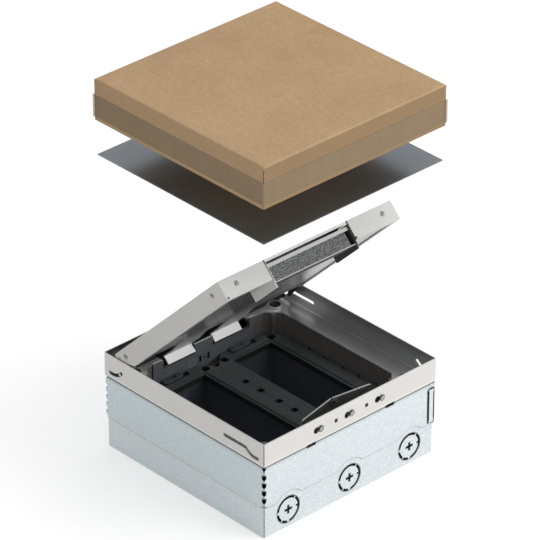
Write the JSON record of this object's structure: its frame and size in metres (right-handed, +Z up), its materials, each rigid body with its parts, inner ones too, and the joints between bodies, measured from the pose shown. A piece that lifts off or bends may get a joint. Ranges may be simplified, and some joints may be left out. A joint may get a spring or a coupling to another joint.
{
  "type": "floor socket box",
  "caption": "Square steel floor socket box with an open hinged lid and cord outlet, levelling screws, twin device supports, and a loose protection sheet and cardboard cover held above it.",
  "frame": {"origin": "centre of the underside of the lower box, on the floor it is fixed to", "axes": "+Z up, -Y towards the wall with the keyholes at which the lid opens, +Y towards the lid's hinge, X along the hinge"},
  "size_m": [0.252, 0.252, 0.4349],
  "materials": {
    "galvanised_steel": "galvanised, faint spangle",
    "stainless_steel": "smooth, satin",
    "polished_steel": "polished, mirror-like",
    "zinc_steel": "zinc plated",
    "blued_plate": "dark, satin",
    "guide_steel": "satin",
    "cheek_steel": "satin",
    "dark_plastic": "matt",
    "support_plastic": "matt",
    "tray_plastic": "matt",
    "latch_plastic": "matt",
    "flap_plastic": "matt",
    "foam": "open-cell foam, speckled",
    "cardboard": "corrugated board, matt",
    "tape": "clear packing tape"
  },
  "bodies": {
    "lower_box": {"box_shell": "galvanised_steel"},
    "screw_front_left": {"levelling_screw_front_left": "zinc_steel"},
    "screw_front_right": {"levelling_screw_front_right": "zinc_steel"},
    "screw_rear_left": {"levelling_screw_rear_left": "zinc_steel"},
    "screw_rear_right": {"levelling_screw_rear_right": "zinc_steel"},
    "cassette": {"collar": "galvanised_steel", "shaft": "dark_plastic", "levelling_sleeves": "zinc_steel", "cassette_frame": "stainless_steel", "keyhole_studs": "stainless_steel", "hinge_plate": "blued_plate", "socket_support_left": "support_plastic", "socket_support_right": "support_plastic", "device_tray_left": "tray_plastic", "device_tray_right": "tray_plastic", "cord_guide_left": "guide_steel", "cord_guide_right": "guide_steel", "guide_clip": "latch_plastic"},
    "latch_left": {"support_latch_left": "latch_plastic"},
    "latch_right": {"support_latch_right": "latch_plastic"},
    "lid": {"lid_casing": "stainless_steel", "covering_tray": "galvanised_steel", "lid_base_plate": "polished_steel", "hinge_ear_left": "galvanised_steel", "hinge_ear_right": "galvanised_steel", "lid_screws": "zinc_steel", "outlet_cheek_left": "cheek_steel", "outlet_cheek_right": "dark_plastic"},
    "outlet": {"outlet_flap": "stainless_steel", "outlet_frame": "flap_plastic", "outlet_foam": "foam"},
    "sheet": {"protection_sheet": "polished_steel"},
    "cover": {"cardboard_cover": "cardboard", "cover_tape": "tape"}
  },
  "joints": [
    {"name": "height_adjust", "type": "slide", "parent": "lower_box", "child": "cassette", "axis": [0, 0, 1], "range_m": [0, 0.02]},
    {"name": "levelling_screw_front_left_spin", "type": "hinge", "parent": "lower_box", "child": "screw_front_left", "pos_m": [-0.099, -0.099, 0.04], "axis": [0, 0, 1], "range_deg": [-5761, 0]},
    {"name": "levelling_screw_front_right_spin", "type": "hinge", "parent": "lower_box", "child": "screw_front_right", "pos_m": [0.099, -0.099, 0.04], "axis": [0, 0, 1], "range_deg": [-5761, 0]},
    {"name": "levelling_screw_rear_left_spin", "type": "hinge", "parent": "lower_box", "child": "screw_rear_left", "pos_m": [-0.099, 0.099, 0.04], "axis": [0, 0, 1], "range_deg": [-5761, 0]},
    {"name": "levelling_screw_rear_right_spin", "type": "hinge", "parent": "lower_box", "child": "screw_rear_right", "pos_m": [0.099, 0.099, 0.04], "axis": [0, 0, 1], "range_deg": [-5761, 0]},
    {"name": "lid_hinge", "type": "hinge", "parent": "cassette", "child": "lid", "pos_m": [0, 0.1084, 0.1116], "axis": [-1, 0, 0], "range_deg": [-44.7, 8]},
    {"name": "outlet_flap_hinge", "type": "hinge", "parent": "lid", "child": "outlet", "pos_m": [0, -0.02676, 0.23902], "axis": [-1, 0, 0], "range_deg": [0, 40]},
    {"name": "latch_left_slide", "type": "slide", "parent": "cassette", "child": "latch_left", "axis": [1, 0, 0], "range_m": [0, 0.008], "stiffness_N_per_m": 150, "springref_m": -0.004},
    {"name": "latch_right_slide", "type": "slide", "parent": "cassette", "child": "latch_right", "axis": [1, 0, 0], "range_m": [0, 0.008], "stiffness_N_per_m": 150, "springref_m": -0.004},
    {"name": "sheet_lift", "type": "slide", "parent": "cassette", "child": "sheet", "axis": [0, 0, 1], "range_m": [0, 0.035]},
    {"name": "cover_lift", "type": "slide", "parent": "cassette", "child": "cover", "axis": [0, 0, 1], "range_m": [0, 0.15]}
  ],
  "couplings": [
    {"joint": "levelling_screw_front_left_spin", "follows": "height_adjust", "rad_per_m": -5026.5},
    {"joint": "levelling_screw_front_right_spin", "follows": "height_adjust", "rad_per_m": -5026.5},
    {"joint": "levelling_screw_rear_left_spin", "follows": "height_adjust", "rad_per_m": -5026.5},
    {"joint": "levelling_screw_rear_right_spin", "follows": "height_adjust", "rad_per_m": -5026.5}
  ]
}
